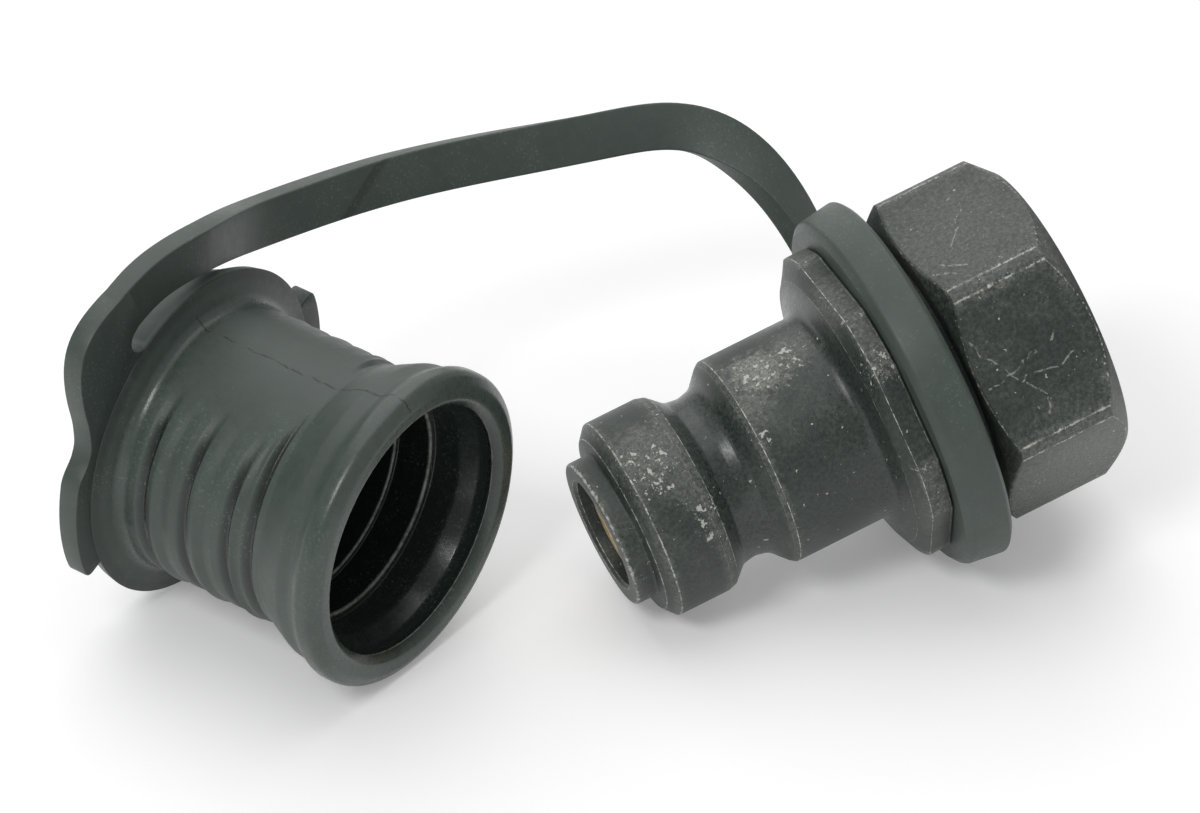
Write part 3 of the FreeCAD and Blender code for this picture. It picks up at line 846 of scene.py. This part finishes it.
# What fills each node group, and its inputs with their defaults, None for a vector
EFFECTS = {
    "Chips": (chips, {"Place": None, "Scale": 2.0, "Level": 0.7, "Patch": 0.0}),
    "Spot": (spot, {"Place": None, "Middle": None, "Radius": 1.0}),
    "Edge wear": (edge_wear, {"Edge": 0.0, "Place": None, "Amount": 0.5}),
    "Scratch": (scratch, {"Place": None, "Start": None, "End": None, "Width": 0.08}),
    "Ring edge": (ring_edge, {"Spot": None, "Edge": None, "Width": 0.8}),
}


def effect_group(name):
    """Node group of an effect, made the first time it is asked for."""
    if name in bpy.data.node_groups:
        return bpy.data.node_groups[name]
    fill, inputs = EFFECTS[name]
    tree = bpy.data.node_groups.new(name, "ShaderNodeTree")
    for label, default in inputs.items():
        kind = "NodeSocketVector" if default is None else "NodeSocketFloat"
        socket = tree.interface.new_socket(label, in_out="INPUT", socket_type=kind)
        if default is not None:
            socket.default_value = default
    tree.interface.new_socket("Mask", in_out="OUTPUT", socket_type="NodeSocketFloat")
    given = tree.nodes.new("NodeGroupInput").outputs[:len(inputs)]
    mask = fill(Shading(tree), *given)
    tree.links.new(mask, tree.nodes.new("NodeGroupOutput").inputs["Mask"])
    return tree


def new_material(name):
    material = bpy.data.materials.new(name)
    material.use_nodes = True
    t = Shading(material.node_tree)
    t.tree.nodes.clear()
    shader = t.add("BsdfPrincipled")
    t.add("OutputMaterial", {"Surface": shader.outputs[0]})
    return material, t, shader


def finish(t, shader, colour, roughness, normal):
    t.set(shader, {"Base Color": colour, "Roughness": roughness, "Normal": normal})


def own_place(t, place):
    """Object coordinates turned to a piece's own axis, in mm."""
    inputs = {"Vector": t.add("TexCoord").outputs["Object"], "Location": place.translation,
              "Rotation": place.to_euler("XYZ")}
    local = t.add("Mapping", inputs, vector_type="TEXTURE").outputs[0]
    return t.vector("SCALE", local, Scale=1 / MM)


def turned_parts(t, place):
    """Place along the axis, to the side and up, and distance from the axis."""
    along, side, up = t.add("SeparateXYZ", {0: place}).outputs
    flat = t.add("CombineXYZ", {1: side, 2: up}).outputs[0]
    return along, side, up, t.vector("LENGTH", flat)


def shade(colour, factor):
    return tuple(factor * c for c in colour)


# Scratches on the middle flat of the hexagon: lines through x and place across the flat, in mm
SCRATCHES = (
    ((33.7, 3.3), (34.0, 2.1), (34.7, 1.2), (35.6, 0.1), (36.2, -1.4)),
    ((33.7, -1.1), (35.8, -0.7), (36.9, -0.4), (38.6, 0.1)),
    ((36.4, -1.8), (37.2, -1.5), (38.3, -1.6), (39.1, -1.6), (40.0, -2.1), (40.8, -1.7),
     (41.5, -1.3)),
    ((36.8, -2.0), (37.5, -2.8), (38.0, -3.5)), ((40.4, 0.4), (40.9, 1.1)),
    ((38.0, -3.9), (37.6, -5.2)),
)
# Fine marks on the top flat: lines through x and y, in mm
TOP_MARKS = (
    ((36.6, -2.2), (38.0, -0.6), (38.6, 0.9), (39.6, 1.9)), ((34.2, -4.6), (35.6, -5.6)),
    ((34.6, -3.4), (36.9, -5.3)), ((38.9, 3.4), (39.9, 3.9)),
)
SCRATCH_WIDTH = 0.13
# Patches where the black finish is chipped: place in mm from the nose tip, and radius
CHIPPED = (
    ((4.6, -5.3, 7.5), 2.6), ((6.3, -4.2, 8.2), 2.4), ((7.6, -8.0, 4.4), 2.4),
    ((3.9, -2.6, 8.8), 1.8), ((7.2, -8.8, 2.8), 1.8), ((40.6, -13.3, 0.6), 1.6),
    ((17.2, -1.2, 9.6), 3.6), ((20.4, -0.8, 9.6), 2.4), ((14.9, -6.4, 7.2), 1.3),
    ((26.0, -9.0, 11.0), 2.6),
)
# Patches where it is rubbed pale: place, radius and amount. The wide patches on the hexagon paint
# two whole flats paler, the top flat as painted light from above and the lower flat as a painted
# reflection of the floor. The patches on the shank's top are partly rubbed wear and partly painted
# light from above.
RUBBED_AND_LIT = (
    ((17.4, -0.8, 9.6), 3.6, 1.6), ((20.8, -0.4, 9.6), 3.2, 1.1), ((15.6, -3.6, 9.0), 2.6, 0.8),
    ((5.4, -3.0, 8.7), 4.6, 0.75), ((7.4, -6.6, 6.5), 3.0, 0.6), ((38.4, -1.0, 13.5), 10.5, 0.52),
    ((38.6, -11.7, -6.8), 10.5, 0.85), ((26.0, -1.5, 14.2), 4.5, 0.7),
    ((38.6, -13.5, 0.6), 5.0, 0.35), ((25.0, -13.0, -3.0), 5.0, 0.5),
    ((15.2, -8.9, -3.4), 3.0, 0.4),
)
# Turned edges rubbed pale: place along the axis, radius and width of the band
RUBBED_EDGES = (
    (0.1, 6.7, 0.9), (2.9, 9.1, 1.0), (8.0, 9.2, 1.1), (14.3, 9.6, 1.0), (25.1, 14.3, 0.8),
    (43.4, 14.5, 1.5),
)
# Bands along the axis, each by where it starts, is full, ends and is gone
NECK_BAND = (8.2, 9.4, 12.8, 13.9)
FILLET_BAND = (18.5, 22.6, 23.9, 24.5)
# Band of the shank whose lower side is kept darker as painted shade
SHADED_SHANK_BAND = (13.8, 15.2, 24.0, 25.0)
FLANGE_BAND = (24.7, 25.0, 27.2, 27.6)
LIP_BAND = (20.6, 21.6, 24.0, 25.0)
CAP_FOOT_BAND = (0.3, 0.8, 1.8, 2.6)
# Painted shade on the disc's face at the cap's foot
SHADED_DISC_FACE_BAND = (-0.13, -0.05, 0.15, 0.35)
# Painted light on the disc's edge
LIT_DISC_EDGE_BAND = (-2.1, -1.9, -0.3, -0.15)


def scratch_masks(t, place):
    """Scratches on the hexagon, bent a little by noise and broken up by grit."""
    wobble = t.add("TexNoise", {"Vector": place, "Scale": 1.1, "Detail": 4.0}).outputs["Color"]
    centred = t.vector("SUBTRACT", wobble, (0.5, 0.5, 0.5))
    bent = t.vector("MULTIPLY_ADD", centred, (1.0, 1.0, 1.0), place)
    half = bpy.context.scene.plug_sizes.flats / MM / 2
    cos, sin = math.cos(math.radians(30.0)), math.sin(math.radians(30.0))
    lines = [[(x, sin * across - cos * half, sin * half + cos * across) for x, across in line]
             for line in SCRATCHES]
    lines += [[(x, y, half) for x, y in line] for line in TOP_MARKS]
    masks = [t.effect("Scratch", Place=bent, Start=start, End=end, Width=SCRATCH_WIDTH)
             for line in lines for start, end in zip(line, line[1:])]
    grit = t.ramp(t.noise(place, 2.6, 5.0, 0.7), 0.30, 0.56)
    return t.times(t.most(*masks), grit)


def spot_masks(t, place, spots):
    return t.most(*(t.times(t.effect("Spot", Place=place, Middle=middle, Radius=radius), amount)
                    for middle, radius, amount in spots))


def steel_material():
    colours = bpy.context.scene.colours
    material, t, shader = new_material("blackened_steel")
    place = own_place(t, plug_place())
    along, _, up, radius = turned_parts(t, place)
    ragged = t.noise(place, 1.6, 4.0, 0.65)
    cloud = t.noise(place, 0.22, 5.0, 0.6)
    mottle = t.noise(place, 2.9, 6.0, 0.68)
    grain = t.noise(place, 7.0, 4.0, 0.65)
    speckle = t.ramp(mottle, 0.36, 0.66)
    # Rubbed places, with painted light: given patches, some of them painting whole flats paler,
    # turned edges, the hexagon's corners, and a loose cloud
    place_2d = t.add("CombineXYZ", {0: along, 1: radius}).outputs[0]
    bands = [t.effect("Ring edge", Spot=place_2d, Edge=(x, r, 0.0), Width=width)
             for x, r, width in RUBBED_EDGES]
    corner = t.ramp(radius, 14.6, 15.1)
    round_parts = t.times(t.ramp(radius, 13.98, 14.12), t.band(along, *FLANGE_BAND))
    edges = t.times(t.most(*bands, corner, round_parts), t.ramp(ragged, 0.32, 0.62, 0.15, 0.9))
    loose = t.ramp(cloud, 0.45, 0.70, 0.0, 0.32)
    rubbed = t.most(spot_masks(t, place, RUBBED_AND_LIT), edges, loose)
    grit = t.times(t.line(speckle, 0.55, 0.25), t.line(t.ramp(grain, 0.40, 0.62), 0.5, 0.6))
    # Chips and worn edges down to the bare steel
    chipped = spot_masks(t, place, [(middle, size, 1.0) for middle, size in CHIPPED])
    large = t.effect("Chips", Place=place, Scale=1.7, Level=0.70, Patch=chipped)
    patch = t.most(t.times(rubbed, 0.7), chipped)
    small = t.effect("Chips", Place=place, Scale=5.0, Level=0.72, Patch=patch)
    wear = t.effect("Edge wear", Edge=t.attribute("edge"), Place=place, Amount=0.46)
    marks = t.times(scratch_masks(t, place), 0.8)
    bare = t.most(wear, t.times(large, 0.85), t.times(small, 0.5))
    # The neck and the fillet keep their smooth dark finish, and the shank's lower side is kept
    # darker, with less of the pale haze, as painted shade
    sleek = t.most(t.band(along, *NECK_BAND), t.times(t.band(along, *FILLET_BAND), 0.8))
    sleek = t.times(sleek, t.ramp(ragged, 0.28, 0.5, 0.7, 1.0))
    lower_shank_shade = t.times(t.band(along, *SHADED_SHANK_BAND), t.ramp(up, 7.4, 4.4))
    pale_wear_and_light = t.times(t.times(rubbed, t.line(lower_shank_shade, -0.55, 1.0)), grit, clamp=True)
    colour = t.blend(speckle, shade(colours.steel, 0.6), shade(colours.steel, 1.3))
    # The pale haze is rubbed wear and painted light together; painted shade keeps it off the
    # shank's lower side
    colour = t.blend(t.times(pale_wear_and_light, t.line(sleek, -0.7, 1.0)), colour, colours.pale_wear_and_light)
    colour = t.blend(marks, colour, shade(colours.bare, 0.6))
    colour = t.blend(bare, colour, colours.bare)
    rough = t.line(sleek, -0.17, t.ramp(mottle, 0.3, 0.7, 0.38, 0.54))
    pits = t.math("SUBTRACT", 1.0, t.most(large, marks))
    rest = t.line(sleek, -0.85, 1.0)
    normal = t.bumps((t.turning(place, 9.0, 0.15), 0.24, 0.00006),
                     (t.times(mottle, rest), 0.35, 0.00010),
                     (t.times(grain, rest), 0.4, 0.00005), (pits, 0.5, 0.00006))
    finish(t, shader, colour, rough, normal)
    return material


def rubber_material():
    base = tuple(bpy.context.scene.colours.rubber)
    material, t, shader = new_material("moulded_rubber")
    place = own_place(t, cap_place())
    along, side, up, radius = turned_parts(t, place)
    inner = t.attribute("inside")
    cloud = t.noise(place, 0.12, 4.0, 0.6)
    bloom = t.noise(place, 1.4, 6.0, 0.7)
    grain = t.noise(place, 5.5, 3.0, 0.6)
    pale = t.math("ADD", t.ramp(cloud, 0.3, 0.7, 0.0, 0.6), t.ramp(bloom, 0.35, 0.75, 0.0, 0.4))
    colour = t.blend(pale, shade(base, 0.85), shade(base, 1.2))
    # Painted shade: the cavity, the more the deeper in, the grooves and the disc's face at the
    # cap's foot are painted darker
    deep = t.blend(t.ramp(along, 17.3, 16.7), shade(base, 0.42), shade(base, 0.26))
    colour = t.blend(inner, colour, deep)
    front = t.band(along, *SHADED_DISC_FACE_BAND)
    shaded = t.most(t.times(t.attribute("hollow"), 0.9), t.times(front, 0.45))
    colour = t.blend(shaded, colour, shade(base, 0.3))
    # Painted highlight: the thin edges of the cavity's steps are painted pale
    bright = t.times(t.attribute("edge"), t.ramp(bloom, 0.35, 0.6, 0.3, 1.0))
    colour = t.blend(bright, colour, (0.24, 0.26, 0.24))
    # Parting line of the mould, along the pad and over the lip
    pad = bpy.context.scene.cap_sizes.pad
    wander = t.line(t.noise(place, 0.8, 3.0), 0.9, -0.45)
    off = t.math("ADD", t.times(side, -math.cos(pad)), t.times(up, math.sin(pad)))
    off = t.math("ABSOLUTE", t.math("ADD", off, wander))
    seam = t.times(t.ramp(off, 0.10, 0.03), t.ramp(radius, 16.5, 16.2),
                   t.math("SUBTRACT", 1.0, inner))
    above = t.times(t.ramp(up, 0.0, 1.0), t.ramp(along, -0.3, -0.1))
    broken = t.ramp(t.noise(place, 1.3, 3.0), 0.35, 0.55)
    seam = t.times(seam, t.times(above, broken))
    colour = t.blend(t.times(seam, 0.75), colour, shade(base, 0.12))
    # Dust, and the disc's edge painted paler as painted light
    dust = t.effect("Chips", Place=place, Scale=4.4, Level=0.71, Patch=t.ramp(cloud, 0.42, 0.6))
    rim = t.times(t.band(along, *LIT_DISC_EDGE_BAND), t.band(radius, 14.5, 14.7, 15.02, 15.1))
    dust_and_rim_light = t.most(t.times(dust, 0.35), t.times(rim, 0.4))
    colour = t.blend(dust_and_rim_light, colour, shade(base, 3.0))
    sleek = t.most(t.band(along, *LIP_BAND), t.band(along, *CAP_FOOT_BAND))
    sleek = t.times(sleek, t.ramp(radius, 15.6, 15.2))
    rough = t.line(sleek, -0.18, t.ramp(bloom, 0.3, 0.7, 0.42, 0.52))
    smear = t.ramp(t.noise(place, 0.6, 5.0, 0.7), 0.35, 0.7, 0.18, 0.34)
    rough = t.add("Mix", {0: inner, 2: rough, 3: smear}).outputs[0]
    outer = t.line(inner, -0.85, 1.0)
    normal = t.bumps((t.times(bloom, outer), 0.15, 0.00012),
                     (t.times(grain, outer), 0.25, 0.00005),
                     (t.math("SUBTRACT", 1.0, seam), 0.5, 0.00008))
    finish(t, shader, colour, rough, normal)
    return material


def turned_metal(name, colour, roughness):
    material, t, shader = new_material(name)
    place = own_place(t, plug_place())
    cloud = t.noise(place, 0.9, 6.0, 0.65)
    mixed = t.blend(t.ramp(cloud, 0.35, 0.65), shade(colour, 0.6), colour)
    rough = t.ramp(cloud, 0.3, 0.7, roughness, roughness + 0.15)
    normal = t.bumps((t.turning(place, 14.0, 0.4), 0.3, 0.00005))
    finish(t, shader, mixed, rough, normal)
    shader.inputs["Metallic"].default_value = 1.0
    return material


def seal_material():
    material, t, shader = new_material("seal_rubber")
    cloud = t.noise(own_place(t, plug_place()), 1.5, 5.0)
    colour = t.blend(cloud, (0.008, 0.008, 0.009), (0.02, 0.02, 0.02))
    rough = t.ramp(cloud, 0.3, 0.7, 0.3, 0.45)
    finish(t, shader, colour, rough, t.bumps((cloud, 0.2, 0.00005)))
    return material


# Stage


# Lamps by name, place, size and power
LAMPS = (
    ("top_light", (0.05, 0.30, 1.10), 1.2, 5.2),
    ("back_light", (0.25, 1.30, 0.75), 1.3, 4.6),
    ("key_light", (-0.51, -0.34, 0.66), 0.26, 2.6),
)
FLOOR_SIZE = 6.0
FLOOR_GLOW = 0.20
WORLD_STRENGTH = 0.42


def build_stage():
    pale = tuple(bpy.context.scene.colours.floor)
    floor = add_piece(bpy.ops.mesh.primitive_plane_add, "floor", size=FLOOR_SIZE)
    material, t, shader = new_material("floor")
    cloud = t.noise(t.add("TexCoord").outputs["Object"], 3.0)
    colour = t.blend(cloud, pale, tuple(min(1.0, 1.01 * c) for c in pale))
    rays = t.add("LightPath").outputs
    seen = t.most(*(rays["Is %s Ray" % kind] for kind in ("Camera", "Glossy", "Transmission")))
    t.set(shader, {"Base Color": colour, "Roughness": 0.9, "Specular IOR Level": 0.0,
                   "Emission Color": (1.0, 1.0, 1.0),
                   "Emission Strength": t.times(seen, FLOOR_GLOW)})
    floor.data.materials.append(material)
    world = bpy.data.worlds.new("studio")
    bpy.context.scene.world = world
    world.use_nodes = True
    background = world.node_tree.nodes["Background"].inputs
    background["Color"].default_value = (1, 1, 1, 1)
    background["Strength"].default_value = WORLD_STRENGTH
    for name, place, size, power in LAMPS:
        lamp = add_piece(bpy.ops.object.light_add, name, type="AREA", location=place)
        lamp.data.size = size
        lamp.data.energy = power
        lamp.rotation_euler = (-Vector(place)).to_track_quat("-Z", "Y").to_euler()


def build_camera():
    turn, height = math.radians(CAMERA_TURN), math.radians(CAMERA_HEIGHT)
    roll = math.radians(CAMERA_ROLL)
    back = Vector((math.sin(turn) * math.cos(height), -math.cos(turn) * math.cos(height),
                   math.sin(height)))
    level = Vector((math.cos(turn), math.sin(turn), 0.0))
    rise = back.cross(level)
    right = level * math.cos(roll) + rise * math.sin(roll)
    up = rise * math.cos(roll) - level * math.sin(roll)
    camera = add_piece(bpy.ops.object.camera_add)
    camera.data.sensor_width = 36.0
    camera.data.lens = camera.data.sensor_width * FOCAL_PIXELS / IMAGE_WIDTH
    aim = [value * MM for value in CAMERA_AIM]
    turned = Matrix((right, up, back)).transposed().to_4x4()
    camera.matrix_world = Matrix.Translation(right * aim[0] + up * aim[1] + back * aim[2]) @ turned
    camera.data.clip_start = 0.01
    camera.data.clip_end = 20.0
    bpy.context.scene.camera = camera
    bpy.context.scene.view_settings.view_transform = "Standard"


# Operators, panel and registration


class COUPLING_OT_stage(bpy.types.Operator):
    """Add the floor, the soft lights and the camera"""
    bl_idname = "coupling.stage"
    bl_label = "Stage"

    def execute(self, context):
        build_stage()
        build_camera()
        return {"FINISHED"}


class COUPLING_OT_plug(bpy.types.Operator):
    """Turn the steel plug with its hexagon and port thread"""
    bl_idname = "coupling.plug"
    bl_label = "Steel plug"

    def execute(self, context):
        build_plug()
        return {"FINISHED"}


class COUPLING_OT_cap(bpy.types.Operator):
    """Mould the rubber dust cap with its strap and ring"""
    bl_idname = "coupling.cap"
    bl_label = "Dust cap"

    def execute(self, context):
        build_cap()
        return {"FINISHED"}


class COUPLING_OT_valve(bpy.types.Operator):
    """Wind the valve spring and give the valve parts their finishes"""
    bl_idname = "coupling.valve"
    bl_label = "Valve parts"

    def execute(self, context):
        colours = context.scene.colours
        brass = turned_metal("brass", tuple(colours.brass), 0.32)
        wire = turned_metal("spring_steel", (0.42, 0.42, 0.43), 0.3)
        build_spring(wire)
        finishes = {"valve_poppet": brass, "valve_guide": brass, "retaining_ring": wire,
                    "poppet_seal": seal_material()}
        for node, material in finishes.items():
            piece = frame["nodes"][node]
            for place in piece.material_slots:
                place.material = material
        return {"FINISHED"}


class COUPLING_PT_sidebar(bpy.types.Panel):
    """Coupling plug with its dust cap"""
    bl_label = "Coupling plug"
    bl_space_type = "VIEW_3D"
    bl_region_type = "UI"
    bl_category = "Coupling"

    def draw(self, context):
        for operator in OPERATORS:
            self.layout.operator(operator.bl_idname)
        for group in (context.scene.plug_sizes, context.scene.cap_sizes, context.scene.colours):
            for name in group.bl_rna.properties.keys():
                if name not in ("rna_type", "name"):
                    self.layout.prop(group, name)


OPERATORS = (COUPLING_OT_stage, COUPLING_OT_plug, COUPLING_OT_cap, COUPLING_OT_valve)
GROUPS = {"plug_sizes": PlugSizes, "cap_sizes": CapSizes, "colours": Colours}


def register():
    for group in (*GROUPS.values(), *OPERATORS, COUPLING_PT_sidebar):
        bpy.utils.register_class(group)
    for name, group in GROUPS.items():
        setattr(bpy.types.Scene, name, PointerProperty(type=group))


def unregister():
    for name in GROUPS:
        delattr(bpy.types.Scene, name)
    for group in (COUPLING_PT_sidebar, *OPERATORS, *GROUPS.values()):
        bpy.utils.unregister_class(group)


def main():
    register()
    bpy.ops.coupling.stage()
    bpy.ops.coupling.plug()
    bpy.ops.coupling.cap()
    bpy.ops.coupling.valve()


if __name__ == "__main__":
    main()
